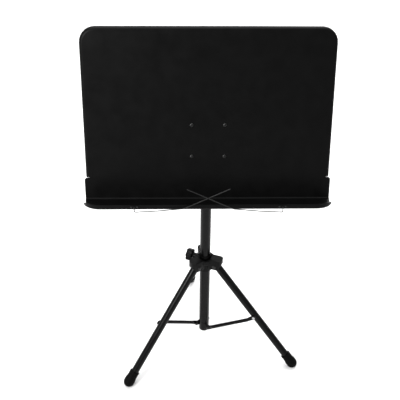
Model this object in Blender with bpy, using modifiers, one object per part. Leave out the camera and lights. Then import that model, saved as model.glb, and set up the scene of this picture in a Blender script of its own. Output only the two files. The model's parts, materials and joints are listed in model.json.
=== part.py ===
"""Folding music stand: a sheet-metal desk on a telescoping mast and a folding tripod.

Frame: +Z up, metres, floor at Z = 0.  The player stands on the -Y side and the desk's width runs
along X.  The origin is on the floor, below the mast's centre line in X and half way between the
front and rear feet in Y.
"""

import math
from collections import namedtuple

import bmesh
import bpy
from mathutils import Vector

# a hand knob on its screw: near and far faces are measured along the screw from the joint's centre
Knob = namedtuple("Knob", "radius near far lobes hollow screw_r tip")

# ------------------------------------------------------------------ driving dimensions (metres)
GAP = 0.0003                    # clearance kept between pieces that touch

MAST_X = 0.0                    # where the mast's axis stands in the frame
MAST_Y = -0.0424

# desk: one folded sheet, local frame with Z up the panel, Y through it, origin on the shelf's bend
DESK_WIDTH = 0.490
DESK_HEIGHT = 0.345
DESK_TILT = math.radians(13.0)
SHEET = 0.0012
TOP_CORNER_R = 0.030
HEM_R = 0.007
HEM_DEPTH = 0.012
NOTCH_Z = 0.046
NOTCH_GAP = 0.0006
SHOULDER = 0.0035               # bevel of the lower part's upper corners
LOWER_HALF_WIDTH = DESK_WIDTH / 2 + 0.0026
BEND_R = 0.003
SHELF_DEPTH = 0.055
SHELF_CORNER_R = 0.034
LIP_HEIGHT = 0.009
LIP_BEND_R = 0.002
DESK_SCREW_R = 0.0025
DESK_SCREW_HEAD_R = 0.0042
DESK_SCREW_DOME = 0.0024

# tilt bracket behind the desk
SCREW_SPACING = 0.065
BRACKET_Z = 0.122               # centre of the four screws, up the panel from the bend
BRACKET_SIZE = 0.086
BRACKET_CORNER_R = 0.008
BRACKET_SHEET = 0.002
PIVOT_BACK = 0.038              # tilt axis behind the panel's front face
EAR_INNER_X = 0.0091
EAR_SHEET = 0.0025
EAR_R = 0.011
EAR_ROOT_HALF = 0.020
TILT_BOLT_R = 0.004
TILT_BOLT_END = 0.0265          # bolt's threaded end from the middle of the tongue
TILT_KNOB_R = 0.017
TILT_KNOB_DEPTH = 0.016
TILT_NUT_R = 0.0065
WASHER_R = 0.0095
WASHER_SHEET = 0.0015

# tilt head on top of the shaft
PIVOT_FORWARD = 0.022           # tilt axis in front of the mast's axis
PIVOT_HEIGHT = 0.607
HEAD_R = 0.014
HEAD_BOTTOM = 0.571
HEAD_TOP = 0.6205
TONGUE_HALF_X = 0.007

# mast
TUBE_R = 0.012
TUBE_WALL = 0.0015
TUBE_BOTTOM = 0.072
TUBE_TOP = 0.530
SHAFT_R = 0.009
SHAFT_WALL = 0.0012
SHAFT_BOTTOM = 0.100
SHAFT_TOP = 0.605
CLUTCH_R = 0.017
CLUTCH_BOTTOM = 0.500
CLUTCH_TOP = 0.556
CLUTCH_SCREW_Z = 0.517
HEAD_SCREW_Z = 0.587
BUSHING_LENGTH = 0.030          # bushing in the tube's top, and the ring on the shaft's foot
CLUTCH_KNOB = Knob(0.0150, 0.0265, 0.0430, 6, 0.0028, 0.0030, SHAFT_R + GAP)
HEAD_KNOB = Knob(0.0105, 0.0200, 0.0310, 5, 0.0022, 0.0025, SHAFT_R + GAP)

# tripod
LEG_AZIMUTHS = {"left": 218.0, "right": 338.0, "rear": 98.0}
HUB_PIVOT_R = 0.0262
HUB_PIVOT_Z = 0.2576
FOOT_R = 0.2265
FOOT_Z = 0.010
LEG_R = 0.00875
LEG_WALL = 0.0012
LEG_TOP = 0.0045                # tube end above the hub pivot
BRACE_PIVOT_R = 0.0145
BRACE_PIVOT_Z = 0.0615
BRACE_SHARE = 0.506             # how far down the leg its brace is pinned
BRACE_R = 0.00425
BRACE_SIDE = 0.0133             # brace tube's axis, sideways from the leg's plane
BRACE_PIN_R = 0.0018
BRACE_PIN_HEAD_R = 0.0036
TAB_HALF = 0.0012               # half the thickness of a brace's flattened end
EAR_NEAR = 0.0086               # the end casting's ears, sideways from the leg's plane
EAR_FAR = 0.0114
LOWER_BOTTOM = 0.044
LOWER_SPIGOT_TOP = 0.092
LEG_PIN_R = 0.0025
BOOT_R = 0.0126
BOOT_NECK_R = 0.0103
BOOT_COLLAR_R = 0.0107
BOOT_TOP = 0.0285               # boot's mouth above the foot's centre, along the leg
BOOT_SEAT = 0.006               # bottom of the boot's bore

# hub
HUB_SLEEVE_R = 0.0155
HUB_BOTTOM = 0.2385
HUB_TOP = 0.2750
HUB_REACH = 0.0425              # lobes' outer ends from the mast's axis
HUB_LOBE_R = 0.0105             # rounding of a lobe's end, seen from above
HUB_CHEEK_HALF = 0.0125
HUB_SLOT_HALF = 0.0091
HUB_SLOT_INNER = 0.0161
HUB_SLOT_OUTER = 0.0385
HUB_FLANGE_R = 0.0210
HUB_FLANGE_BOTTOM = 0.2600
HUB_ROOF = 0.0055               # thickness of a lobe's roof
HUB_LIGHT_X = (-0.0080, -0.0012)    # the opening in a lobe's cheeks, from the leg's pivot
HUB_LIGHT_Z = (-0.0076, -0.0048)
HUB_BUSH_R = 0.0137
HUB_BUSH_TOP = 0.2805
HUB_KNOB_AZIMUTH = math.radians(158.0)
HUB_KNOB_Z = 0.2675
HUB_KNOB = Knob(0.0145, 0.0300, 0.0440, 6, 0.0028, 0.0025, TUBE_R + GAP)

# page wires, in a plane in front of the shelf's lip
WIRE_R = 0.001
WIRE_PIVOT_X = 0.146
WIRE_PIVOT_DROP = 0.0040        # pivot below the lip's top edge
WIRE_CRANK = 0.0095             # run below the pivot
WIRE_RUN = 0.091
WIRE_ARM = 0.094
WIRE_BEND_STEP = 0.004
WIRE_RUN_SLOPE = math.radians(4.0)
WIRE_ARM_SLOPE = math.radians(24.5)

# worked out from the above
LEG_RUN = FOOT_R - HUB_PIVOT_R
LEG_DROP = HUB_PIVOT_Z - FOOT_Z
LEG_LENGTH = math.hypot(LEG_RUN, LEG_DROP)
LEG_SPREAD = math.atan2(LEG_RUN, LEG_DROP)
BRACE_TIP_R = HUB_PIVOT_R + BRACE_SHARE * LEG_RUN
BRACE_TIP_Z = HUB_PIVOT_Z - BRACE_SHARE * LEG_DROP
BRACE_LENGTH = math.hypot(BRACE_TIP_R - BRACE_PIVOT_R, BRACE_TIP_Z - BRACE_PIVOT_Z)
BRACE_RISE = math.atan2(BRACE_TIP_Z - BRACE_PIVOT_Z, BRACE_TIP_R - BRACE_PIVOT_R)
LIP_FACE_Y = -SHELF_DEPTH - SHEET
WIRE_PIVOT_Z = LIP_HEIGHT - WIRE_PIVOT_DROP


# ------------------------------------------------------------------ scene and materials
def clear_scene():
    for old in list(bpy.data.objects):
        bpy.data.objects.remove(old, do_unlink=True)


def new_collection(name):
    collection = bpy.data.collections.new(name)
    bpy.context.scene.collection.children.link(collection)
    return collection


def material(name, color, roughness, metallic):
    result = bpy.data.materials.new(name)
    result.use_nodes = True
    shader = result.node_tree.nodes["Principled BSDF"]
    shader.inputs["Base Color"].default_value = (*color, 1.0)
    shader.inputs["Roughness"].default_value = roughness
    shader.inputs["Metallic"].default_value = metallic
    return result


clear_scene()
PARTS = new_collection("music_stand")
CUTTERS = new_collection("cutters")

DESK_BLACK = material("desk_black", (0.012, 0.012, 0.013), 0.42, 0.0)
TUBE_BLACK = material("tube_black", (0.016, 0.016, 0.017), 0.38, 0.0)
PLASTIC_BLACK = material("plastic_black", (0.014, 0.014, 0.014), 0.55, 0.0)
RUBBER_BLACK = material("rubber_black", (0.012, 0.012, 0.012), 0.80, 0.0)
DARK_STEEL = material("dark_steel", (0.10, 0.10, 0.11), 0.35, 1.0)
BRIGHT_STEEL = material("bright_steel", (0.55, 0.55, 0.57), 0.28, 1.0)
NYLON = material("nylon", (0.62, 0.61, 0.57), 0.50, 0.0)


# ------------------------------------------------------------------ building blocks
def empty(name, parent=None, location=(0, 0, 0), rotation=(0, 0, 0)):
    result = bpy.data.objects.new(name, None)
    result.empty_display_size = 0.02
    result.location = location
    result.rotation_euler = rotation
    result.parent = parent
    PARTS.objects.link(result)
    return result


def add_object(name, data, look=None, parent=None, location=(0, 0, 0), rotation=(0, 0, 0)):
    """Links an object as a piece, or as a cutter when it has no material."""
    result = bpy.data.objects.new(name, data)
    result.location = location
    result.rotation_euler = rotation
    result.parent = parent
    if look is None:
        CUTTERS.objects.link(result)
        result.display_type = 'WIRE'
        result.hide_render = True
    else:
        PARTS.objects.link(result)
        data.materials.append(look)
    return result


def finish_mesh(bm, name, sharp_degrees=35.0):
    mesh = bpy.data.meshes.new(name)
    bm.to_mesh(mesh)
    bm.free()
    mesh.shade_smooth()
    mesh.set_sharp_from_angle(angle=math.radians(sharp_degrees))
    return mesh


def lathe(name, profile, steps=32, closed=False, **where):
    """Turns a list of (radius, height) points, outer side top to bottom, about the local Z axis."""
    mesh = bpy.data.meshes.new(name)
    edges = [(i, i + 1) for i in range(len(profile) - 1)]
    if closed:
        edges.append((len(profile) - 1, 0))
    mesh.from_pydata([(radius, 0, height) for radius, height in profile], edges, [])
    result = add_object(name, mesh, **where)
    screw = result.modifiers.new("turn", 'SCREW')
    screw.steps = steps
    screw.render_steps = steps
    screw.use_merge_vertices = True
    screw.merge_threshold = 0.00002
    screw.use_smooth_shade = True
    screw.use_normal_calculate = False
    return result


def ring(name, outer, inner, bottom, top, steps=32, **where):
    profile = [(outer, top), (outer, bottom), (inner, bottom), (inner, top)]
    return lathe(name, profile, steps, closed=True, **where)


def cylinder(name, radius, start, end, axis='Z', segments=24, **where):
    """A solid cylinder between two points of the given local axis."""
    bm = bmesh.new()
    bmesh.ops.create_cone(bm, cap_ends=True, segments=segments, radius1=radius, radius2=radius,
                          depth=abs(end - start))
    middle = {'Z': (0, 0, 1), 'X': (1, 0, 0), 'Y': (0, 1, 0)}[axis]
    place = Vector(middle) * (start + end) / 2
    spin = Vector((0, 0, 1)).rotation_difference(Vector(middle)).to_matrix()
    bmesh.ops.rotate(bm, verts=bm.verts, matrix=spin)
    bmesh.ops.translate(bm, verts=bm.verts, vec=place)
    return add_object(name, finish_mesh(bm, name), **where)


def box(name, low, high, **where):
    bm = bmesh.new()
    bmesh.ops.create_cube(bm, size=1.0)
    low = Vector(low)
    high = Vector(high)
    bmesh.ops.scale(bm, verts=bm.verts, vec=high - low)
    bmesh.ops.translate(bm, verts=bm.verts, vec=(low + high) / 2)
    return add_object(name, finish_mesh(bm, name), **where)


def outline_plate(name, points, thickness, edge=0.0, **where):
    """A flat plate in the local XY plane, centred on it, from a closed outline."""
    curve = bpy.data.curves.new(name, 'CURVE')
    curve.dimensions = '2D'
    curve.fill_mode = 'BOTH'
    curve.extrude = thickness / 2 - edge
    if edge:
        curve.bevel_depth = edge
        curve.bevel_resolution = 1
        curve.offset = -edge
    spline = curve.splines.new('POLY')
    spline.points.add(len(points) - 1)
    for knot, (x, y) in zip(spline.points, points):
        knot.co = (x, y, 0, 1)
    spline.use_cyclic_u = True
    return add_object(name, curve, **where)


def wire(name, points, radius, **where):
    curve = bpy.data.curves.new(name, 'CURVE')
    curve.dimensions = '3D'
    curve.bevel_depth = radius
    curve.bevel_resolution = 2
    curve.use_fill_caps = True
    spline = curve.splines.new('POLY')
    spline.points.add(len(points) - 1)
    for knot, point in zip(spline.points, points):
        knot.co = (*point, 1)
    return add_object(name, curve, **where)


def to_mesh(target):
    """Replaces a curve object by a mesh object of the same name and place, so it can be cut."""
    bpy.context.view_layer.update()
    graph = bpy.context.evaluated_depsgraph_get()
    mesh = bpy.data.meshes.new_from_object(target.evaluated_get(graph))
    bm = bmesh.new()
    bm.from_mesh(mesh)
    bmesh.ops.remove_doubles(bm, verts=bm.verts, dist=0.000005)
    bmesh.ops.recalc_face_normals(bm, faces=bm.faces)
    bm.to_mesh(mesh)
    bm.free()
    mesh.shade_smooth()
    mesh.set_sharp_from_angle(angle=math.radians(35.0))
    name = target.name
    result = bpy.data.objects.new(name, mesh)
    for collection in target.users_collection:
        collection.objects.link(result)
    result.parent = target.parent
    result.matrix_world = target.matrix_world.copy()
    result.display_type = target.display_type
    result.hide_render = target.hide_render
    bpy.data.objects.remove(target, do_unlink=True)
    result.name = name
    return result


def combine(target, other, operation):
    boolean = target.modifiers.new(operation.lower(), 'BOOLEAN')
    boolean.operation = operation
    boolean.object = other
    boolean.solver = 'EXACT'


def cut(target, cutter):
    combine(target, cutter, 'DIFFERENCE')


def fuse(target, addition):
    combine(target, addition, 'UNION')


def arc(center, radius, start, end, count):
    """Points on an arc, both ends included; angles in degrees."""
    points = []
    for step in range(count + 1):
        angle = math.radians(start + (end - start) * step / count)
        points.append((center[0] + radius * math.cos(angle), center[1] + radius * math.sin(angle)))
    return points


def rounded_rectangle(half_x, half_y, radius, count=3):
    points = []
    for sign_x, sign_y, start in ((1, 1, 0), (-1, 1, 90), (-1, -1, 180), (1, -1, 270)):
        center = (sign_x * (half_x - radius), sign_y * (half_y - radius))
        points += arc(center, radius, start, start + 90, count)
    return points


def lobed_outline(radius, depth, lobes, points_per_lobe):
    """A hand knob's outline: a circle with evenly spaced hollows for the fingers."""
    points = []
    total = lobes * points_per_lobe
    for step in range(total):
        angle = 2 * math.pi * step / total
        hollow = (0.5 - 0.5 * math.cos(lobes * angle)) ** 2
        reach = radius - depth * hollow
        points.append((reach * math.cos(angle), reach * math.sin(angle)))
    return points


def dome(radius, height, base, count=3, top=True):
    """Profile points of a domed head, from its centre out to its rim or the other way round."""
    points = []
    for step in range(count + 1):
        angle = math.pi / 2 * step / count
        points.append((radius * math.sin(angle), height * math.cos(angle)))
    if top:
        return [(r, base + h) for r, h in points]
    return [(r, base - h) for r, h in reversed(points)]


def rivet(name, shank_r, head_r, head_h, low, high, steps=12, **where):
    """A rivet along local Z whose two heads sit outside the heights low and high."""
    profile = dome(head_r, head_h, high) + [(shank_r, high), (shank_r, low)]
    profile += dome(head_r, head_h, low, top=False)
    return lathe(name, profile, steps, **where)


def lobed_grip(name, radius, hollow, lobes, near, far, **where):
    """A knob's moulded grip between two heights of the local Z axis."""
    outline = lobed_outline(radius, hollow, lobes, 6)
    grip = to_mesh(outline_plate(name, outline, far - near, edge=0.0010, look=PLASTIC_BLACK, **where))
    for vertex in grip.data.vertices:
        vertex.co.z += (near + far) / 2
    return grip


def knob_with_screw(prefix, knob, parent):
    """A lobed knob moulded on a plain screw, both along the parent's +Z."""
    grip = lobed_grip(prefix + "_knob", knob.radius, knob.hollow, knob.lobes, knob.near, knob.far,
                      parent=parent)
    socket_end = knob.far - 0.003
    socket = cylinder(prefix + "_socket", knob.screw_r + GAP, knob.near - 0.002, socket_end,
                      segments=12, parent=parent)
    cut(grip, socket)
    cylinder(prefix + "_screw", knob.screw_r, knob.tip, socket_end - GAP, segments=12,
             look=DARK_STEEL, parent=parent)


# ------------------------------------------------------------------ mast
def build_mast(stand):
    tube = ring("main_tube", TUBE_R, TUBE_R - TUBE_WALL, TUBE_BOTTOM, TUBE_TOP, 32,
                parent=stand, look=TUBE_BLACK)
    hole = cylinder("tube_screw_hole", CLUTCH_KNOB.screw_r + 2 * GAP, 0.0, 0.02, axis='Y', segments=12,
                    parent=stand, location=(0, 0, CLUTCH_SCREW_Z))
    cut(tube, hole)
    bush_r = TUBE_R - TUBE_WALL - GAP
    top = CLUTCH_SCREW_Z - 0.010
    ring("tube_bushing", bush_r, SHAFT_R + GAP, top - BUSHING_LENGTH, top, 16, parent=stand,
         look=NYLON)


def build_clutch(stand):
    """The clamp around the tube's top end, with a boss for its screw at the back."""
    skirt = TUBE_R + GAP
    throat = SHAFT_R + GAP
    body = lathe("height_clamp_body", [
        (CLUTCH_R - 0.0025, CLUTCH_TOP), (CLUTCH_R, CLUTCH_TOP - 0.004),
        (CLUTCH_R, CLUTCH_BOTTOM + 0.003), (CLUTCH_R - 0.0015, CLUTCH_BOTTOM),
        (skirt, CLUTCH_BOTTOM), (skirt, TUBE_TOP + GAP), (throat, TUBE_TOP + GAP),
        (throat, CLUTCH_TOP)], 32, closed=True, parent=stand, look=PLASTIC_BLACK)
    center = (0, 0, CLUTCH_SCREW_Z)
    boss = cylinder("clamp_boss", 0.0085, 0.0135, 0.026, axis='Y', parent=stand, location=center)
    fuse(body, boss)
    bore = cylinder("clamp_bore", CLUTCH_KNOB.screw_r + GAP, 0.0, 0.030, axis='Y', segments=12,
                    parent=stand, location=center)
    cut(body, bore)
    axis = empty("height_knob_axis", stand, center, (-math.pi / 2, 0, 0))
    knob_with_screw("height_clamp", CLUTCH_KNOB, axis)


def build_shaft(shaft):
    ring("shaft_tube", SHAFT_R, SHAFT_R - SHAFT_WALL, SHAFT_BOTTOM, SHAFT_TOP, 28,
         parent=shaft, look=BRIGHT_STEEL)
    ring("shaft_glide_ring", TUBE_R - TUBE_WALL - GAP, SHAFT_R + GAP, SHAFT_BOTTOM,
         SHAFT_BOTTOM + BUSHING_LENGTH, 16, parent=shaft, look=NYLON)


# ------------------------------------------------------------------ tilt head and bracket
def build_head(head):
    socket_top = SHAFT_TOP + GAP
    bore = SHAFT_R + GAP
    body = lathe("tilt_head", [
        (0, HEAD_TOP), (HEAD_R - 0.003, HEAD_TOP), (HEAD_R, HEAD_TOP - 0.003),
        (HEAD_R, HEAD_BOTTOM), (bore, HEAD_BOTTOM), (bore, socket_top), (0, socket_top)],
        32, parent=head, look=PLASTIC_BLACK)
    outline = arc((-PIVOT_FORWARD, 0), EAR_R - 0.001, 100, 260, 8)
    outline += [(-0.010, -0.020), (-0.010, 0.0115)]
    tongue = outline_plate("head_tongue", outline, 2 * TONGUE_HALF_X, parent=head,
                           location=(0, 0, PIVOT_HEIGHT), rotation=(math.pi / 2, 0, math.pi / 2))
    fuse(body, to_mesh(tongue))
    pin = cylinder("tongue_bore", TILT_BOLT_R + GAP, -0.010, 0.010, axis='X', segments=20, parent=head,
                   location=(0, -PIVOT_FORWARD, PIVOT_HEIGHT))
    cut(body, pin)
    center = (0, 0, HEAD_SCREW_Z)
    boss = cylinder("head_boss", 0.0065, 0.0115, 0.0195, axis='Y', parent=head, location=center)
    fuse(body, boss)
    thread = cylinder("head_bore", HEAD_KNOB.screw_r + GAP, 0.002, 0.024, axis='Y', segments=12,
                      parent=head, location=center)
    cut(body, thread)
    pivot = (0, -PIVOT_FORWARD, PIVOT_HEIGHT)
    for side, sign in (("left", -1), ("right", 1)):
        near = TONGUE_HALF_X + GAP
        far = EAR_INNER_X - GAP
        ring("friction_washer_" + side, WASHER_R, TILT_BOLT_R + GAP, near, far, 16, parent=head,
             location=pivot, rotation=(0, sign * math.pi / 2, 0), look=NYLON)
    axis = empty("head_knob_axis", head, center, (-math.pi / 2, 0, 0))
    knob_with_screw("head_clamp", HEAD_KNOB, axis)


def build_bracket(desk):
    """The plate behind the panel with its two ears."""
    back = SHEET + GAP
    square = rounded_rectangle(BRACKET_SIZE / 2, BRACKET_SIZE / 2, BRACKET_CORNER_R)
    plate = outline_plate("tilt_bracket", square, BRACKET_SHEET, parent=desk, look=TUBE_BLACK,
                          location=(0, back + BRACKET_SHEET / 2, BRACKET_Z),
                          rotation=(math.pi / 2, 0, 0))
    plate = to_mesh(plate)
    root = back + BRACKET_SHEET / 2
    outline = arc((PIVOT_BACK, 0), EAR_R, -80, 80, 8) + [(root, EAR_ROOT_HALF),
                                                           (root, -EAR_ROOT_HALF)]
    for side, sign in (("left", -1), ("right", 1)):
        x = sign * (EAR_INNER_X + EAR_SHEET / 2)
        ear = outline_plate("ear_" + side, outline, EAR_SHEET, parent=desk,
                            location=(x, 0, BRACKET_Z), rotation=(math.pi / 2, 0, math.pi / 2))
        fuse(plate, to_mesh(ear))
    bore = cylinder("ear_bore", TILT_BOLT_R + GAP, -0.020, 0.020, axis='X', segments=20, parent=desk,
                    location=(0, PIVOT_BACK, BRACKET_Z))
    cut(plate, bore)
    return plate


def build_tilt_bolt(pivot):
    """The carriage bolt through ears and tongue, its washer, and the tilt knob on its nut."""
    head = EAR_INNER_X + EAR_SHEET + GAP
    bolt = dome(0.008, 0.0045, head)
    bolt += [(TILT_BOLT_R, head), (TILT_BOLT_R, -TILT_BOLT_END), (0, -TILT_BOLT_END)]
    lathe("tilt_bolt", bolt, 20, parent=pivot, rotation=(0, -math.pi / 2, 0), look=DARK_STEEL)
    where = {"parent": pivot, "rotation": (0, math.pi / 2, 0)}
    ring("tilt_bolt_washer", WASHER_R, TILT_BOLT_R + GAP, head, head + WASHER_SHEET, 16,
         look=BRIGHT_STEEL, **where)
    near = head + 2 * WASHER_SHEET + GAP
    grip = lobed_grip("tilt_knob", TILT_KNOB_R, 0.0032, 6, near, near + TILT_KNOB_DEPTH, **where)
    pocket = cylinder("knob_pocket", TILT_NUT_R + GAP, 0.0, near + 0.012, segments=20, **where)
    cut(grip, pocket)
    ring("tilt_knob_nut", TILT_NUT_R, TILT_BOLT_R + GAP, near, near + 0.010, 20,
         look=BRIGHT_STEEL, **where)


# ------------------------------------------------------------------ desk
def grid_surface(bm, columns, rows, place):
    """Adds a grid of faces whose vertex (column, row) is moved to place(column, row)."""
    made = bmesh.ops.create_grid(bm, x_segments=columns, y_segments=rows, size=0.5)["verts"]
    made.sort(key=lambda v: (round(v.co.y * rows * 2), round(v.co.x * columns * 2)))
    for index, vertex in enumerate(made):
        row, column = divmod(index, columns + 1)
        vertex.co = place(column, row)


def panel_path():
    """The flat panel's rim with its outward direction, from the right notch over the top."""
    half = DESK_WIDTH / 2 - HEM_R
    top = DESK_HEIGHT - HEM_R
    corner = TOP_CORNER_R - HEM_R
    path = [((half, NOTCH_Z), (1.0, 0.0))]
    for sign, start in ((1, 0), (-1, 90)):
        center = (sign * (half - corner), top - corner)
        for point in arc(center, corner, start, start + 90, 7):
            outward = ((point[0] - center[0]) / corner, (point[1] - center[1]) / corner)
            path.append((point, outward))
    path.append(((-half, NOTCH_Z), (-1.0, 0.0)))
    return path


def hem_profile():
    """(outward, backward) steps of the rolled hem."""
    steps = arc((0, HEM_R), HEM_R, -90, 0, 5)
    return steps + [(HEM_R, HEM_DEPTH)]


def shelf_path():
    """The shelf's rim: right side, round the front corners, left side."""
    half = LOWER_HALF_WIDTH
    front = SHELF_DEPTH - LIP_BEND_R
    radius = SHELF_CORNER_R
    inner = radius - LIP_BEND_R
    path = []
    for sign, start in ((1, 0), (-1, -90)):
        center = (sign * (half - radius), -(front - inner))
        turn = -90
        for point in arc(center, inner, start, start + turn, 9):
            outward = ((point[0] - center[0]) / inner, (point[1] - center[1]) / inner)
            path.append((point, outward))
    return path


def build_desk(desk):
    bm = bmesh.new()
    rim = panel_path()
    half = DESK_WIDTH / 2 - HEM_R
    low = LOWER_HALF_WIDTH
    notch = NOTCH_Z - NOTCH_GAP
    panel = [(low, BEND_R), (low, notch - SHOULDER), (low - SHOULDER, notch), (half, notch)]
    panel += [point for point, _ in rim]
    panel += [(-half, notch), (SHOULDER - low, notch), (-low, notch - SHOULDER), (-low, BEND_R)]
    bm.faces.new([bm.verts.new((x, 0, z)) for x, z in panel])

    hem = hem_profile()

    def hem_point(column, row):
        (x, z), (out_x, out_z) = rim[column]
        out, back = hem[row]
        return (x + out_x * out, back, z + out_z * out)

    grid_surface(bm, len(rim) - 1, len(hem) - 1, hem_point)

    bend = arc((-BEND_R, BEND_R), BEND_R, 0, -90, 5)

    def bend_point(column, row):
        y, z = bend[row]
        return (low * (1 - 2 * column), y, z)

    grid_surface(bm, 1, len(bend) - 1, bend_point)

    shelf_rim = shelf_path()
    shelf = [(low, -BEND_R)] + [point for point, _ in shelf_rim] + [(-low, -BEND_R)]
    bm.faces.new([bm.verts.new((x, y, 0)) for x, y in shelf])

    lip = arc((0, LIP_BEND_R), LIP_BEND_R, -90, 0, 4) + [(LIP_BEND_R, LIP_HEIGHT)]
    lipped = [(point, out) for point, out in shelf_rim if abs(out[0]) < 0.99]

    def lip_point(column, row):
        (x, y), (out_x, out_y) = lipped[column]
        out, up = lip[row]
        share = min(1.0, 0.15 + 1.15 * abs(out_y))
        return (x + out_x * out, y + out_y * out, up * share if row else 0.0)

    grid_surface(bm, len(lipped) - 1, len(lip) - 1, lip_point)

    bmesh.ops.remove_doubles(bm, verts=bm.verts, dist=0.00002)
    bmesh.ops.recalc_face_normals(bm, faces=bm.faces)
    front = max(bm.faces, key=lambda face: face.calc_area())
    if front.normal.y > 0:
        bmesh.ops.reverse_faces(bm, faces=bm.faces)
    sheet = add_object("desk_panel", finish_mesh(bm, "desk_panel"), look=DESK_BLACK, parent=desk)
    shell = sheet.modifiers.new("sheet thickness", 'SOLIDIFY')
    shell.thickness = SHEET
    shell.offset = -1.0
    shell.use_even_offset = True
    return sheet


def build_desk_screws(desk, sheet, plate):
    """Four button-head screws through panel and bracket, into hexagonal weld nuts behind."""
    back = SHEET + GAP + BRACKET_SHEET
    tip = back + 0.0050
    spots = []
    for sign_x in (-1, 1):
        for sign_z in (-1, 1):
            spots.append((sign_x * SCREW_SPACING / 2, 0, BRACKET_Z + sign_z * SCREW_SPACING / 2))
    for spot in spots:
        weld_nut = cylinder("weld_nut", 0.0048, back - 0.0005, back + 0.004, axis='Y', segments=6,
                            parent=desk, location=spot)
        fuse(plate, weld_nut)
    profile = dome(DESK_SCREW_HEAD_R, DESK_SCREW_DOME, GAP)
    profile += [(DESK_SCREW_R, GAP), (DESK_SCREW_R, -tip), (0, -tip)]
    for index, spot in enumerate(spots):
        hole = cylinder("screw_hole", DESK_SCREW_R + GAP, -0.003, 0.012, axis='Y', segments=12,
                        parent=desk, location=spot)
        cut(sheet, hole)
        cut(plate, hole)
        lathe("desk_screw_%d" % (index + 1), profile, 12, parent=desk, location=spot,
              rotation=(math.pi / 2, 0, 0), look=BRIGHT_STEEL)


# ------------------------------------------------------------------ page wires
def wire_route(plane):
    """The right-hand wire, in desk coordinates about its pivot: pin, crank, run, bend and arm."""
    run_rise = WIRE_RUN * math.tan(WIRE_RUN_SLOPE)
    points = [(0, SHEET + 0.0030, 0), (0, plane * 0.5, 0), (0, plane * 0.85, 0)]
    points.append((0, plane, -0.0008))
    points += [(0, plane, -WIRE_CRANK + 0.0022), (-0.0008, plane, -WIRE_CRANK + 0.0006)]
    points.append((-0.0026, plane, -WIRE_CRANK))
    points.append((-WIRE_RUN * 0.5, plane, -WIRE_CRANK + run_rise * 0.35))
    x = -WIRE_RUN
    z = -WIRE_CRANK + run_rise
    for share in (0.0, 0.5, 1.0):
        turn = WIRE_RUN_SLOPE + (WIRE_ARM_SLOPE - WIRE_RUN_SLOPE) * share
        points.append((x, plane, z))
        x -= WIRE_BEND_STEP * math.cos(turn)
        z += WIRE_BEND_STEP * math.sin(turn)
    points.append((x - WIRE_ARM * math.cos(WIRE_ARM_SLOPE), plane,
                   z + WIRE_ARM * math.sin(WIRE_ARM_SLOPE)))
    return points


def build_page_wires(desk, sheet):
    pivot_z = WIRE_PIVOT_Z
    face = LIP_FACE_Y
    for side, sign, plane in (("left", -1, -0.0036), ("right", 1, -0.0062)):
        axis = empty("page_wire_axis_" + side, desk, (sign * WIRE_PIVOT_X, face, pivot_z))
        route = [(sign * x, y, z) for x, y, z in wire_route(plane)]
        wire("page_wire_" + side, route, WIRE_R, parent=axis, look=DARK_STEEL)
        ring("wire_push_nut_" + side, 0.0032, WIRE_R + GAP, SHEET + GAP, SHEET + 0.0016, 16,
             parent=axis, rotation=(-math.pi / 2, 0, 0), look=BRIGHT_STEEL)
        hole = cylinder("wire_hole_" + side, WIRE_R + GAP, -0.004, 0.004, axis='Y', segments=12,
                        parent=axis)
        cut(sheet, hole)
        outline = rounded_rectangle(0.0085, 0.0030, 0.0029, 3)
        saddle = outline_plate("wire_saddle_" + side, outline, 0.0008, parent=desk,
                               location=(sign * WIRE_PIVOT_X, face - GAP - 0.0004, pivot_z),
                               rotation=(math.pi / 2, 0, 0), look=TUBE_BLACK)
        saddle = to_mesh(saddle)
        cut(saddle, hole)
        for index, offset in enumerate((-0.006, 0.006)):
            place = (sign * WIRE_PIVOT_X + offset, face - GAP - 0.0008, pivot_z)
            fixing = cylinder("saddle_hole", 0.0008 + GAP, -0.004, 0.004, axis='Y', segments=12,
                              parent=desk, location=place)
            cut(sheet, fixing)
            cut(saddle, fixing)
            rivet("saddle_rivet_%s_%d" % (side, index + 1), 0.0008, 0.0015, 0.0008,
                  -(GAP + 0.0008 + SHEET + GAP), GAP, 8, parent=desk, location=place,
                  rotation=(math.pi / 2, 0, 0), look=BRIGHT_STEEL)


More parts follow.
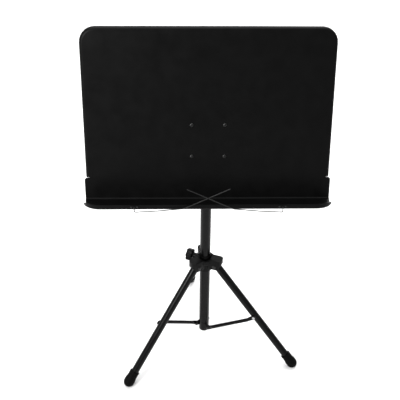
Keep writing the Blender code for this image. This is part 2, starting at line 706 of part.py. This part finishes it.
# ------------------------------------------------------------------ tripod
def build_hub(hub):
    """The sliding casting: a sleeve on its bushing and a roofed lobe over each leg's upper end."""
    rim = HUB_TOP - 0.0020
    inside = HUB_BUSH_R - 0.002
    body = lathe("hub_casting", [
        (HUB_FLANGE_R - 0.0015, rim), (HUB_FLANGE_R, rim - 0.0015),
        (HUB_FLANGE_R, HUB_FLANGE_BOTTOM + 0.003), (HUB_SLEEVE_R, HUB_FLANGE_BOTTOM - 0.003),
        (HUB_SLEEVE_R, HUB_BOTTOM), (inside, HUB_BOTTOM), (inside, rim)],
        32, closed=True, parent=hub, look=PLASTIC_BLACK)
    ring("hub_bushing", HUB_BUSH_R, TUBE_R + GAP, HUB_BOTTOM + 0.001, HUB_BUSH_TOP, 28,
         parent=hub, look=PLASTIC_BLACK)
    inward = HUB_SLEEVE_R - 0.004 - HUB_PIVOT_R
    outward = HUB_REACH - HUB_PIVOT_R
    top = HUB_TOP - HUB_PIVOT_Z
    side_outline = [(inward, -0.0098), (inward, top), (outward, top)]
    side_outline += [(outward, 0.0070), (outward - 0.0055, -0.0050), (0.0058, -0.0094)]
    length = HUB_REACH / 2
    top_outline = rounded_rectangle(length, HUB_CHEEK_HALF, HUB_LOBE_R, 5)
    side_on = (math.pi / 2, 0, 0)
    for side, degrees in LEG_AZIMUTHS.items():
        arm_axis = empty("hub_arm_" + side, hub, (0, 0, HUB_PIVOT_Z), (0, 0, math.radians(degrees)))
        arm = outline_plate("hub_lobe_" + side, side_outline, 2 * HUB_CHEEK_HALF, edge=0.0022,
                            parent=arm_axis, location=(HUB_PIVOT_R, 0, 0), rotation=side_on)
        arm = to_mesh(arm)
        rounding = outline_plate("hub_lobe_rounding_" + side, top_outline, 0.1, parent=arm_axis,
                                 location=(length, 0, 0))
        combine(arm, to_mesh(rounding), 'INTERSECT')
        fuse(body, arm)
    for side in LEG_AZIMUTHS:
        cut_leg_slot(body, bpy.data.objects["hub_arm_" + side], side)
        rivet("leg_pivot_rivet_" + side, LEG_PIN_R, 0.0048, 0.0022, -HUB_CHEEK_HALF - GAP,
              HUB_CHEEK_HALF + GAP, 12, parent=bpy.data.objects["hub_arm_" + side],
              location=(HUB_PIVOT_R, 0, 0), rotation=side_on, look=DARK_STEEL)
    boss_axis = empty("hub_knob_axis", hub, (0, 0, HUB_KNOB_Z), (0, math.pi / 2, HUB_KNOB_AZIMUTH))
    boss = cylinder("hub_boss", 0.0068, HUB_BUSH_R, 0.0285, parent=boss_axis)
    fuse(body, boss)
    through = cylinder("hub_mast_bore", HUB_BUSH_R + GAP, 0.2, 0.3, segments=40, parent=hub)
    cut(body, through)
    recess = cylinder("hub_recess", HUB_SLEEVE_R + 0.0015, HUB_TOP - 0.0050, 0.3, segments=40,
                      parent=hub)
    cut(body, recess)
    thread = cylinder("hub_screw_bore", HUB_KNOB.screw_r + GAP, 0.0, 0.035, segments=12, parent=boss_axis)
    cut(body, thread)
    cut(bpy.data.objects["hub_bushing"], thread)
    knob_with_screw("hub_lock", HUB_KNOB, boss_axis)


def leg_slot_outline():
    """Side view of the space a leg sweeps from folded to spread, about the leg's pivot."""
    inner = HUB_SLOT_INNER - HUB_PIVOT_R
    outer = HUB_SLOT_OUTER - HUB_PIVOT_R
    roof = HUB_TOP - HUB_ROOF - HUB_PIVOT_Z
    clear = LEG_R + 2 * GAP
    below = -0.035

    def spread_side(x):
        """Height of the spread leg's outer side, with its clearance, at a distance from the pivot."""
        along = (x - clear * math.cos(LEG_SPREAD)) / math.sin(LEG_SPREAD)
        return clear * math.sin(LEG_SPREAD) - along * math.cos(LEG_SPREAD)

    far = 0.036
    return [(inner, below), (far, below), (far, spread_side(far)), (outer, spread_side(outer)),
            (outer, roof), (inner, roof)]


def cut_leg_slot(body, arm_axis, side):
    """Opens a lobe for its leg, lightens its cheeks and bores it for the leg's rivet."""
    where = {"parent": arm_axis, "location": (HUB_PIVOT_R, 0, 0)}
    slot = outline_plate("hub_slot_" + side, leg_slot_outline(), 2 * HUB_SLOT_HALF,
                         rotation=(math.pi / 2, 0, 0), **where)
    cut(body, to_mesh(slot))
    low = (HUB_LIGHT_X[0], -0.020, HUB_LIGHT_Z[0])
    high = (HUB_LIGHT_X[1], 0.020, HUB_LIGHT_Z[1])
    light_hole = box("hub_light_hole_" + side, low, high, **where)
    cut(body, light_hole)
    bore = cylinder("hub_pin_bore_" + side, LEG_PIN_R + GAP, -0.020, 0.020, axis='Y', segments=12,
                    **where)
    cut(body, bore)


def boot_profile():
    """(radius, height above the foot's centre) of the rubber boot: outside, foot, then its bore."""
    bore = LEG_R + GAP
    profile = [(bore, BOOT_TOP), (0.0100, BOOT_TOP), (BOOT_COLLAR_R, 0.0275), (BOOT_COLLAR_R, 0.0250),
               (0.0101, 0.0242), (BOOT_NECK_R, 0.0150)]
    for step in range(1, 4):
        share = step / 4
        swell = 0.5 - 0.5 * math.cos(math.pi * share)
        profile.append((BOOT_NECK_R + (BOOT_R - BOOT_NECK_R) * swell, 0.0150 - 0.0120 * share))
    profile += arc((0, 0), BOOT_R, 10, -72, 4)
    profile += [(0.0, -BOOT_R), (0.0, BOOT_SEAT), (bore, BOOT_SEAT)]
    return profile


def build_leg(side, hub):
    azimuth = math.radians(LEG_AZIMUTHS[side])
    place = (HUB_PIVOT_R * math.cos(azimuth), HUB_PIVOT_R * math.sin(azimuth), HUB_PIVOT_Z)
    leg = empty("leg_axis_" + side, hub, place, (0, -LEG_SPREAD, azimuth))
    foot = -LEG_LENGTH
    tube = ring("leg_tube_" + side, LEG_R, LEG_R - LEG_WALL, foot + BOOT_SEAT + GAP, LEG_TOP, 24,
                parent=leg, look=TUBE_BLACK)
    pin = cylinder("leg_pin_bore_" + side, LEG_PIN_R + GAP, -0.012, 0.012, axis='Y', segments=12,
                   parent=leg)
    cut(tube, pin)
    inside = LEG_R - LEG_WALL - GAP
    under = LEG_TOP - 0.0012
    cap = [(0, LEG_TOP + 0.0030), (LEG_R * 0.55, LEG_TOP + 0.0026), (LEG_R * 0.88, LEG_TOP + 0.0013),
           (LEG_R, LEG_TOP + GAP), (inside, LEG_TOP + GAP), (inside, under), (0, under)]
    lathe("leg_cap_" + side, cap, 20, parent=leg, look=PLASTIC_BLACK)
    boot = lathe("boot_" + side, [(r, h + foot) for r, h in boot_profile()], 20, closed=True,
                 parent=leg, look=RUBBER_BLACK)
    cut(boot, bpy.data.objects["floor_cutter"])


def squash_ends(bm, length, end_extra):
    """Flattens both ends of a tube along X into eye tabs and shifts them beside what they join."""
    inner_tab = EAR_FAR + GAP + TAB_HALF - BRACE_SIDE
    outer_tab = LEG_R + 2 * GAP + TAB_HALF - BRACE_SIDE
    flat = 0.0075
    blend = 0.009
    for vertex in bm.verts:
        x = vertex.co.x
        reach = min(x, length - x)
        share = min(1.0, max(0.0, (reach - flat) / blend))
        share = share * share * (3 - 2 * share)
        shift = outer_tab if x > length / 2 else inner_tab
        thin = TAB_HALF / BRACE_R
        squeeze = thin + (1 - thin) * share
        widen = 1.35 - 0.35 * share
        if reach < -end_extra + 0.001:
            widen = 0.75
        vertex.co.y = vertex.co.y * squeeze - shift * (1 - share)
        vertex.co.z = vertex.co.z * widen


def build_brace(side, stand):
    azimuth = math.radians(LEG_AZIMUTHS[side])
    place = (BRACE_PIVOT_R * math.cos(azimuth), BRACE_PIVOT_R * math.sin(azimuth), BRACE_PIVOT_Z)
    brace = empty("brace_axis_" + side, stand, place, (0, -BRACE_RISE, azimuth))
    extra = 0.0055
    bm = bmesh.new()
    bmesh.ops.create_cone(bm, cap_ends=True, segments=14, radius1=BRACE_R, radius2=BRACE_R,
                          depth=BRACE_LENGTH + 2 * extra)
    spin = Vector((0, 0, 1)).rotation_difference(Vector((1, 0, 0))).to_matrix()
    bmesh.ops.rotate(bm, verts=bm.verts, matrix=spin)
    bmesh.ops.translate(bm, verts=bm.verts, vec=(BRACE_LENGTH / 2, 0, 0))
    stations = (-0.0032, 0.0075, 0.0098, 0.012, 0.0142, 0.0165)
    for station in stations:
        for x in (station, BRACE_LENGTH - station):
            bmesh.ops.bisect_plane(bm, geom=bm.verts[:] + bm.edges[:] + bm.faces[:],
                                   plane_co=(x, 0, 0), plane_no=(1, 0, 0))
    squash_ends(bm, BRACE_LENGTH, extra)
    bar = add_object("brace_" + side, finish_mesh(bm, "brace_" + side), look=TUBE_BLACK,
                     parent=brace, location=(0, -BRACE_SIDE, 0))
    side_on = (math.pi / 2, 0, 0)
    for label, x in (("inner", 0.0), ("outer", BRACE_LENGTH)):
        bore = cylinder("brace_bore_%s_%s" % (label, side), BRACE_PIN_R + GAP, -0.020, 0.020, axis='Y',
                        segments=12, parent=brace, location=(x, 0, 0))
        cut(bar, bore)
    foot = LEG_R + GAP + 0.0002
    head = LEG_R + 3 * GAP + 2 * TAB_HALF
    profile = dome(BRACE_PIN_HEAD_R, 0.0018, head)
    profile += [(BRACE_PIN_R, head), (BRACE_PIN_R, foot), (0, foot)]
    lathe("brace_leg_rivet_" + side, profile, 10, parent=brace, location=(BRACE_LENGTH, 0, 0),
          rotation=side_on, look=BRIGHT_STEEL)


def build_lower_bracket(stand):
    """The end casting in the tube's foot, with three ears for the braces."""
    spigot = TUBE_R - TUBE_WALL - GAP
    top = TUBE_BOTTOM - GAP
    body = lathe("lower_bracket", [
        (0, LOWER_SPIGOT_TOP), (spigot - 0.001, LOWER_SPIGOT_TOP), (spigot, LOWER_SPIGOT_TOP - 0.002),
        (spigot, top), (TUBE_R, top), (TUBE_R, LOWER_BOTTOM + 0.0022),
        (TUBE_R - 0.0022, LOWER_BOTTOM), (0, LOWER_BOTTOM)], 32, parent=stand, look=TUBE_BLACK)
    side_on = (math.pi / 2, 0, 0)
    outline = arc((BRACE_PIVOT_R, 0), 0.0055, -90, 90, 6) + [(0.001, 0.0085), (0.001, -0.0085)]
    for side, degrees in LEG_AZIMUTHS.items():
        axis = empty("lower_ear_axis_" + side, stand, (0, 0, BRACE_PIVOT_Z),
                     (0, 0, math.radians(degrees)))
        ear = outline_plate("lower_ear_" + side, outline, EAR_FAR - EAR_NEAR, parent=axis,
                            location=(0, -(EAR_NEAR + EAR_FAR) / 2, 0), rotation=side_on)
        fuse(body, to_mesh(ear))
        where = {"parent": axis, "location": (BRACE_PIVOT_R, 0, 0), "rotation": side_on}
        bore = cylinder("lower_bore_" + side, BRACE_PIN_R + GAP, 0.004, 0.020, segments=12, **where)
        cut(body, bore)
        rivet("brace_base_rivet_" + side, BRACE_PIN_R, BRACE_PIN_HEAD_R, 0.0018, EAR_NEAR - GAP,
              EAR_FAR + 2 * TAB_HALF + 2 * GAP, 10, look=DARK_STEEL, **where)


# ------------------------------------------------------------------ the whole stand
stand = empty("stand", None, (MAST_X, MAST_Y, 0))
box("floor_cutter", (-0.4, -0.4, -0.1), (0.4, 0.4, 0.0), parent=stand)

build_mast(stand)
build_clutch(stand)
build_lower_bracket(stand)
hub = empty("hub_slide", stand)
build_hub(hub)
for side in LEG_AZIMUTHS:
    build_leg(side, hub)
    build_brace(side, stand)

shaft = empty("shaft_slide", stand)
build_shaft(shaft)
head = empty("head_swivel", shaft)
build_head(head)
tilt = empty("tilt_axis", head, (0, -PIVOT_FORWARD, PIVOT_HEIGHT), (-DESK_TILT, 0, 0))
desk = empty("desk_frame", tilt, (0, -PIVOT_BACK, -BRACKET_Z))
sheet = build_desk(desk)
plate = build_bracket(desk)
build_desk_screws(desk, sheet, plate)
build_tilt_bolt(tilt)
build_page_wires(desk, sheet)
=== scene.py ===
"""The music stand's visible surfaces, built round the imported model, in a plain pale studio."""

import json
import math

import bmesh
import bpy
from mathutils import Matrix, Vector


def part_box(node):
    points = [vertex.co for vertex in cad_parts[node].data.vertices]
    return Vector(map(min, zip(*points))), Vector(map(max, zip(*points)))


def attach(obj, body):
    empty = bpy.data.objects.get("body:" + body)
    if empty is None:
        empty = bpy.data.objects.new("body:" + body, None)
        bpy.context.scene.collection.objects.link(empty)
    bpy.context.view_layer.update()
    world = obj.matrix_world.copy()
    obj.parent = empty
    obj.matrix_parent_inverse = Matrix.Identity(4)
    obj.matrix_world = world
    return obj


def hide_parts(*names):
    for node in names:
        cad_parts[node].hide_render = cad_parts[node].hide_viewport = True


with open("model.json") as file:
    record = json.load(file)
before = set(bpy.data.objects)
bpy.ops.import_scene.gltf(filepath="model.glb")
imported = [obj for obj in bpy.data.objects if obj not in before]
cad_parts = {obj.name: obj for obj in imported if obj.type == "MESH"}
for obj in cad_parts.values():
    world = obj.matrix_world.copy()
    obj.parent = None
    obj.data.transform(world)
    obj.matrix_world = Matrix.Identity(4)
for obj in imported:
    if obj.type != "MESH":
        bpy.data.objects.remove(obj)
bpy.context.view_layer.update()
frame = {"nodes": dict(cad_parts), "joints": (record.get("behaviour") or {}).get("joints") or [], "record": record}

# ------------------------------------------------------------------ driving values
# lengths in metres and camera angles in degrees, unless a line says otherwise
CAMERA_PLACE = Vector((-0.0495, -1.3927, 1.3863))
CAMERA_DOWN = 35.26             # pitch below the horizon
CAMERA_TURN = 1.54              # turned to the right of +Y
CAMERA_ROLL = 0.65              # leaning clockwise
SENSOR = 36.0                   # millimetres
LENS = 68.3

DESK_TILT = math.radians(13.0)
GAP = 0.0003                    # clearance between pieces that touch
LEG_R = 0.00875
BOOT_R = 0.0126
BOOT_COLLAR_R = 0.0116
BOOT_NECK_R = 0.0112
BOOT_TOP = 0.0285               # boot's mouth above the foot's centre, along the leg
BOOT_SEAT = 0.006               # bottom of the boot's bore
BOOT_COLLAR_BOTTOM = 0.0242
BOOT_SWELL_TOP = 0.0150         # where the neck starts to widen towards the foot
BOOT_SWELL = 0.0090             # length over which it widens
BOOT_GROOVES = 3
GROOVE_TOP = 0.0222
GROOVE_STEP = 0.0024
GROOVE_DEPTH = 0.0004
FOOT_HEIGHT = 0.010             # foot's centre above the floor

SCREW_HEAD_R = 0.0042
SCREW_DOME = 0.0024
SCREW_SHANK_R = 0.0025
SCREW_CHAMFER = 0.0006
RECESS_ARM = (0.0040, 0.0008, 0.0030)   # length, width and depth of one arm of the cross recess
RECESS_TURN = 0.6                       # radians that the cross is turned on its screw

WORLD_LIGHT = 0.62
FLOOR_RADIUS = 9.0
# name, place, target, width, height, watts
PANEL_LIGHTS = (
    ("overhead", (0.0, 0.8, 3.2), (0.0, 0.4, 0.0), 3.0, 3.0, 115.0),
    ("key", (-1.7, -2.0, 1.85), (-0.2, 0.0, 0.75), 0.8, 1.0, 80.0),
    ("back fill", (1.2, 2.6, 1.5), (0.0, 0.0, 0.5), 1.2, 1.2, 35.0),
)

# how far a node's edges are rounded, where it differs from the usual
EDGE_USUAL = 0.0003
EDGE = {
    "desk_panel": 0.00035,
    "hub_casting": 0.0007,
    "lower_bracket": 0.0005,
    "tilt_bracket": 0.0005,
    "height_clamp_body": 0.0005,
    "tilt_head": 0.0006,
}
OWN_PIECE = ("boot_", "desk_screw_")    # nodes whose visible piece is built here
DULL_ZINC = ("saddle_rivet_",)          # nodes of bright steel that get a darker, rougher copy of the zinc finish


# ------------------------------------------------------------------ materials
class Finish:
    """A node tree being wired for one surface finish."""

    def __init__(self, name):
        self.material = bpy.data.materials.new(name)
        self.material.use_nodes = True
        self.nodes = self.material.node_tree.nodes
        self.links = self.material.node_tree.links
        self.shader = self.nodes["Principled BSDF"]
        self.place = self.nodes.new("ShaderNodeTexCoord").outputs["Object"]

    def noise(self, scale, detail=3.0, roughness=0.55, stretch=None):
        texture = self.nodes.new("ShaderNodeTexNoise")
        texture.inputs["Scale"].default_value = scale
        texture.inputs["Detail"].default_value = detail
        texture.inputs["Roughness"].default_value = roughness
        place = self.place
        if stretch:
            mapping = self.nodes.new("ShaderNodeMapping")
            mapping.inputs["Scale"].default_value = stretch
            self.links.new(place, mapping.inputs["Vector"])
            place = mapping.outputs["Vector"]
        self.links.new(place, texture.inputs["Vector"])
        return texture.outputs["Fac"]

    def ramp(self, value, low, high, start, end):
        """Maps low..high of a value onto start..end, clamped."""
        node = self.nodes.new("ShaderNodeMapRange")
        self.links.new(value, node.inputs["Value"])
        limits = {"From Min": low, "From Max": high, "To Min": start, "To Max": end}
        for socket, number in limits.items():
            node.inputs[socket].default_value = number
        return node.outputs["Result"]

    def multiply(self, first, second):
        node = self.nodes.new("ShaderNodeMath")
        node.operation = 'MULTIPLY'
        self.links.new(first, node.inputs[0])
        self.links.new(second, node.inputs[1])
        return node.outputs["Value"]

    def edges(self, radius):
        """1 on edges and corners, 0 on open surfaces."""
        rounded = self.nodes.new("ShaderNodeBevel")
        rounded.samples = 6
        rounded.inputs["Radius"].default_value = radius
        flat = self.nodes.new("ShaderNodeNewGeometry")
        compare = self.nodes.new("ShaderNodeVectorMath")
        compare.operation = 'DOT_PRODUCT'
        self.links.new(rounded.outputs["Normal"], compare.inputs[0])
        self.links.new(flat.outputs["Normal"], compare.inputs[1])
        return self.ramp(compare.outputs["Value"], 0.97, 0.75, 0.0, 1.0)

    def color(self, factor, dark, light):
        node = self.nodes.new("ShaderNodeMix")
        node.data_type = 'RGBA'
        self.links.new(factor, node.inputs["Factor"])
        node.inputs["A"].default_value = (*dark, 1.0)
        node.inputs["B"].default_value = (*light, 1.0)
        return node.outputs["Result"]

    def mix_colors(self, factor, first, light):
        node = self.nodes.new("ShaderNodeMix")
        node.data_type = 'RGBA'
        self.links.new(factor, node.inputs["Factor"])
        self.links.new(first, node.inputs["A"])
        node.inputs["B"].default_value = (*light, 1.0)
        return node.outputs["Result"]

    def bump(self, height, distance, strength=1.0, under=None):
        node = self.nodes.new("ShaderNodeBump")
        node.inputs["Strength"].default_value = strength
        node.inputs["Distance"].default_value = distance
        self.links.new(height, node.inputs["Height"])
        if under:
            self.links.new(under, node.inputs["Normal"])
        return node.outputs["Normal"]

    def link(self, value, socket):
        self.links.new(value, self.shader.inputs[socket])

    def fix(self, **values):
        names = {"metallic": "Metallic", "specular": "Specular IOR Level", "roughness": "Roughness"}
        for name, number in values.items():
            self.shader.inputs[names[name]].default_value = number


def grey(value, blue=1.0):
    return (value, value, value * blue)


def coating(name, dark, light, rough_low, rough_high, grain, grain_height, specular, worn,
            metallic=0.0, wear_reach=0.0006, stretch=None):
    """Paint, plastic, rubber or plated metal: mottled colour, grainy surface, worn edges."""
    finish = Finish(name)
    cloud = finish.noise(38.0, 4.0)
    grit = finish.noise(grain, 2.0, stretch=stretch)
    body = finish.color(finish.ramp(cloud, 0.3, 0.7, 0.0, 1.0), dark, light)
    scuffs = finish.ramp(finish.noise(420.0, 5.0, 0.7), 0.42, 0.62, 0.0, 1.0)
    wear = finish.multiply(finish.edges(wear_reach), scuffs)
    finish.link(finish.mix_colors(wear, body, worn), "Base Color")
    finish.link(finish.ramp(cloud, 0.3, 0.7, rough_low, rough_high), "Roughness")
    ripple = finish.bump(finish.noise(grain * 0.22, 1.0, stretch=stretch), grain_height * 2.0, 0.5)
    finish.link(finish.bump(grit, grain_height, 0.9, under=ripple), "Normal")
    finish.fix(metallic=metallic, specular=specular)
    return finish.material


MATERIALS = {
    "desk_black": coating(
        "desk_powder_coat", grey(0.0016), grey(0.0024), 0.36, 0.44,
        1500.0, 0.00003, 0.070, grey(0.010)),
    "tube_black": coating(
        "tube_enamel", grey(0.0013), grey(0.0021), 0.22, 0.30,
        1800.0, 0.00001, 0.115, grey(0.010)),
    "plastic_black": coating(
        "moulded_plastic", grey(0.0013), grey(0.0021), 0.34, 0.46,
        2600.0, 0.00003, 0.075, grey(0.008)),
    "rubber_black": coating(
        "moulded_rubber", grey(0.0013), grey(0.0022), 0.50, 0.66,
        2200.0, 0.00005, 0.045, grey(0.007)),
    "dark_steel": coating(
        "blackened_steel", grey(0.020), grey(0.032), 0.30, 0.42,
        2400.0, 0.00001, 0.5, grey(0.10), metallic=0.9, wear_reach=0.0003),
    "bright_steel": coating(
        "zinc_plate", grey(0.42, 1.03), grey(0.52, 1.02), 0.22, 0.36,
        1600.0, 0.00001, 0.5, grey(0.60), metallic=1.0, stretch=(1.0, 1.0, 0.2)),
    # a darker, rougher copy of the zinc plate, for the nodes listed in DULL_ZINC
    "dull_zinc": coating(
        "dull_zinc_plate", grey(0.030, 1.03), grey(0.045, 1.02), 0.40, 0.50,
        1600.0, 0.00001, 0.4, grey(0.09), metallic=0.9),
    "nylon": coating(
        "white_nylon", grey(0.58, 0.93), grey(0.66, 0.93), 0.42, 0.55,
        1200.0, 0.00002, 0.45, grey(0.72)),
}


# ------------------------------------------------------------------ pieces
NODE_SLOT = {row["node"]: row["material_slot"] for row in frame["record"]["subparts"]}
NODE_BODY = {node: body for body, nodes in frame["record"]["behaviour"]["bodies"].items()
             for node in nodes}


def shade(mesh, sharp_degrees=38.0):
    mesh.shade_smooth()
    mesh.set_sharp_from_angle(angle=math.radians(sharp_degrees))


def refine(node, edge=0.0004, segments=2, sharp=38.0):
    """A copy of a CAD node with its facets joined, its curves smooth and its edges rounded."""
    bm = bmesh.new()
    bm.from_mesh(frame["nodes"][node].data)
    bmesh.ops.remove_doubles(bm, verts=bm.verts, dist=0.00001)
    bmesh.ops.dissolve_limit(bm, angle_limit=math.radians(0.6), verts=bm.verts, edges=bm.edges)
    mesh = bpy.data.meshes.new(node + "_skin")
    bm.to_mesh(mesh)
    bm.free()
    shade(mesh, sharp)
    piece = bpy.data.objects.new(node + "_skin", mesh)
    bpy.context.scene.collection.objects.link(piece)
    if edge:
        bevel = piece.modifiers.new("edges", 'BEVEL')
        bevel.width = edge
        bevel.segments = segments
        bevel.limit_method = 'ANGLE'
        bevel.angle_limit = math.radians(sharp)
        bevel.harden_normals = True
        bevel.use_clamp_overlap = True
    settle(piece, NODE_BODY[node], NODE_SLOT[node], node)
    return piece


def settle(piece, body, slot, *nodes):
    """Gives a finished piece its material and its body, and hides the CAD nodes that it stands for."""
    piece.data.materials.clear()
    piece.data.materials.append(MATERIALS[slot])
    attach(piece, body)
    if nodes:
        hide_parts(*nodes)


def piece_from(bm, name):
    mesh = bpy.data.meshes.new(name)
    bm.to_mesh(mesh)
    bm.free()
    shade(mesh)
    piece = bpy.data.objects.new(name, mesh)
    bpy.context.scene.collection.objects.link(piece)
    return piece


def turned(profile, steps):
    """A closed solid of revolution about +Z from (radius, height) points, axis to axis."""
    bm = bmesh.new()
    points = [bm.verts.new((radius, 0, height)) for radius, height in profile]
    lines = [bm.edges.new(pair) for pair in zip(points, points[1:])]
    bmesh.ops.spin(bm, geom=points + lines, cent=(0, 0, 0), axis=(0, 0, 1), angle=2 * math.pi,
                   steps=steps, use_merge=True)
    bmesh.ops.remove_doubles(bm, verts=bm.verts, dist=0.000004)
    bmesh.ops.recalc_face_normals(bm, faces=bm.faces)
    return bm


def standing_on(base, ahead):
    """The matrix of a piece whose origin is at base and whose +Z points along ahead."""
    turn = Vector((0, 0, 1)).rotation_difference(Vector(ahead).normalized())
    return Matrix.Translation(base) @ turn.to_matrix().to_4x4()


def joint_place(name):
    return Vector(next(row["pos_m"] for row in frame["joints"] if row["name"] == name))


def mount_place(name):
    return Vector(next(row["pos_m"] for row in frame["record"]["mounts"] if row["name"] == name))


def boot_profile():
    """The boot's outside, from its mouth to its rounded foot, with a collar and grooves."""
    mouth = LEG_R + GAP
    collar = BOOT_COLLAR_R
    neck = BOOT_NECK_R
    cut = BOOT_NECK_R - GROOVE_DEPTH
    profile = [(0.0, BOOT_SEAT), (mouth, BOOT_SEAT), (mouth, BOOT_TOP), (collar - 0.0008, BOOT_TOP),
               (collar - 0.0002, BOOT_TOP - 0.0004), (collar, BOOT_TOP - 0.0011),
               (collar, BOOT_COLLAR_BOTTOM + 0.0012),
               (collar - 0.0002, BOOT_COLLAR_BOTTOM + 0.0005),
               (neck, BOOT_COLLAR_BOTTOM)]
    for groove in range(BOOT_GROOVES):
        height = GROOVE_TOP - GROOVE_STEP * groove
        profile += [(neck, height), (cut, height - 0.0003), (cut, height - 0.0007),
                    (neck, height - 0.0010)]
    for step in range(9):
        share = step / 9
        swell = 0.5 - 0.5 * math.cos(math.pi * share)
        profile.append((neck + (BOOT_R - neck) * swell, BOOT_SWELL_TOP - BOOT_SWELL * share))
    for step in range(13):
        angle = math.radians(8 - 98 * step / 12)
        profile.append((max(0.0, BOOT_R * math.cos(angle)), BOOT_R * math.sin(angle)))
    return profile


def build_boot(side):
    foot = mount_place("foot_" + side) + Vector((0, 0, FOOT_HEIGHT))
    bm = turned(boot_profile(), 48)
    bm.transform(standing_on(foot, joint_place("leg_fold_" + side) - foot))
    whole = bm.verts[:] + bm.edges[:] + bm.faces[:]
    cut = bmesh.ops.bisect_plane(bm, geom=whole, plane_co=(0, 0, 0), plane_no=(0, 0, -1),
                                 clear_outer=True)
    rim = [item for item in cut["geom_cut"] if isinstance(item, bmesh.types.BMEdge)]
    bmesh.ops.contextual_create(bm, geom=rim)
    node = "boot_" + side
    settle(piece_from(bm, node + "_moulded"), NODE_BODY[node], NODE_SLOT[node], node)


def build_desk_screw(node):
    """A button-head screw with a cross recess, standing on the desk's face."""
    normal = Vector((0, -math.cos(DESK_TILT), math.sin(DESK_TILT)))
    low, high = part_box(node)
    middle = (low + high) / 2
    heights = [(vertex.co - middle).dot(normal) for vertex in frame["nodes"][node].data.vertices]
    top = max(heights)
    tip = min(heights) - top
    profile = [(0.0, 0.0)]
    for step in range(1, 11):
        angle = math.pi / 2 * step / 10
        profile.append((SCREW_HEAD_R * math.sin(angle), SCREW_DOME * (math.cos(angle) - 1.0)))
    profile += [(SCREW_SHANK_R, -SCREW_DOME), (SCREW_SHANK_R, tip + SCREW_CHAMFER),
                (SCREW_SHANK_R - SCREW_CHAMFER, tip), (0.0, tip)]
    head = piece_from(turned(profile, 40), node + "_head")
    for turn in (0, 1):
        bm = bmesh.new()
        bmesh.ops.create_cube(bm, size=1.0)
        bmesh.ops.scale(bm, vec=RECESS_ARM, verts=bm.verts)
        spin = Matrix.Rotation(math.pi / 2 * turn + RECESS_TURN, 3, 'Z')
        bmesh.ops.rotate(bm, verts=bm.verts, matrix=spin)
        slot = piece_from(bm, "recess_%d" % turn)
        carve = head.modifiers.new("recess", 'BOOLEAN')
        carve.operation = 'DIFFERENCE'
        carve.solver = 'EXACT'
        carve.object = slot
        bpy.context.view_layer.update()
        graph = bpy.context.evaluated_depsgraph_get()
        baked = bpy.data.meshes.new_from_object(head.evaluated_get(graph))
        head.modifiers.clear()
        head.data = baked
        bpy.data.objects.remove(slot)
    shade(head.data)
    head.matrix_world = standing_on(middle + normal * top, normal)
    settle(head, NODE_BODY[node], NODE_SLOT[node], node)


# every node that has no finer piece of its own gets joined facets and rounded edges
for node_name in sorted(frame["nodes"]):
    if not node_name.startswith(OWN_PIECE):
        skin = refine(node_name, EDGE.get(node_name, EDGE_USUAL))
        if node_name.startswith(DULL_ZINC):
            skin.data.materials[0] = MATERIALS["dull_zinc"]
for leg_side in ("left", "right", "rear"):
    build_boot(leg_side)
for screw_number in range(1, 5):
    build_desk_screw("desk_screw_%d" % screw_number)


# ------------------------------------------------------------------ studio
def panel_light(name, place, target, width, height, power):
    data = bpy.data.lights.new(name, 'AREA')
    data.shape = 'RECTANGLE'
    data.size = width
    data.size_y = height
    data.energy = power
    light = bpy.data.objects.new(name, data)
    light.location = place
    aim = Vector(target) - Vector(place)
    light.rotation_euler = aim.to_track_quat('-Z', 'Y').to_euler()
    bpy.context.scene.collection.objects.link(light)


def build_floor():
    bm = bmesh.new()
    bmesh.ops.create_circle(bm, cap_ends=True, segments=96, radius=FLOOR_RADIUS)
    mesh = bpy.data.meshes.new("floor")
    bm.to_mesh(mesh)
    bm.free()
    floor = bpy.data.objects.new("floor", mesh)
    finish = Finish("floor_paper")
    finish.link(finish.color(finish.noise(3.0), grey(0.85), grey(0.87)), "Base Color")
    finish.fix(specular=0.0, roughness=0.9)
    mesh.materials.append(finish.material)
    bpy.context.scene.collection.objects.link(floor)


def build_camera():
    down = math.radians(CAMERA_DOWN)
    turn = math.radians(CAMERA_TURN)
    reach = math.cos(down)
    ahead = Vector((math.sin(turn) * reach, math.cos(turn) * reach, -math.sin(down)))
    level = Vector((math.cos(turn), -math.sin(turn), 0.0))
    above = level.cross(ahead)
    roll = math.radians(CAMERA_ROLL)
    right = level * math.cos(roll) + above * math.sin(roll)
    up = above * math.cos(roll) - level * math.sin(roll)
    data = bpy.data.cameras.new("camera")
    data.lens = LENS
    data.sensor_width = SENSOR
    camera = bpy.data.objects.new("camera", data)
    rotation = Matrix((right, up, -ahead)).transposed()
    camera.matrix_world = Matrix.Translation(CAMERA_PLACE) @ rotation.to_4x4()
    bpy.context.scene.collection.objects.link(camera)
    bpy.context.scene.camera = camera


def build_world():
    world = bpy.data.worlds.new("studio")
    world.use_nodes = True
    background = world.node_tree.nodes["Background"]
    background.inputs["Color"].default_value = (1.0, 1.0, 1.0, 1.0)
    background.inputs["Strength"].default_value = WORLD_LIGHT
    bpy.context.scene.world = world
    bpy.context.scene.view_settings.view_transform = 'Standard'


build_floor()
build_camera()
build_world()
for light_row in PANEL_LIGHTS:
    panel_light(*light_row)

bpy.context.view_layer.update()
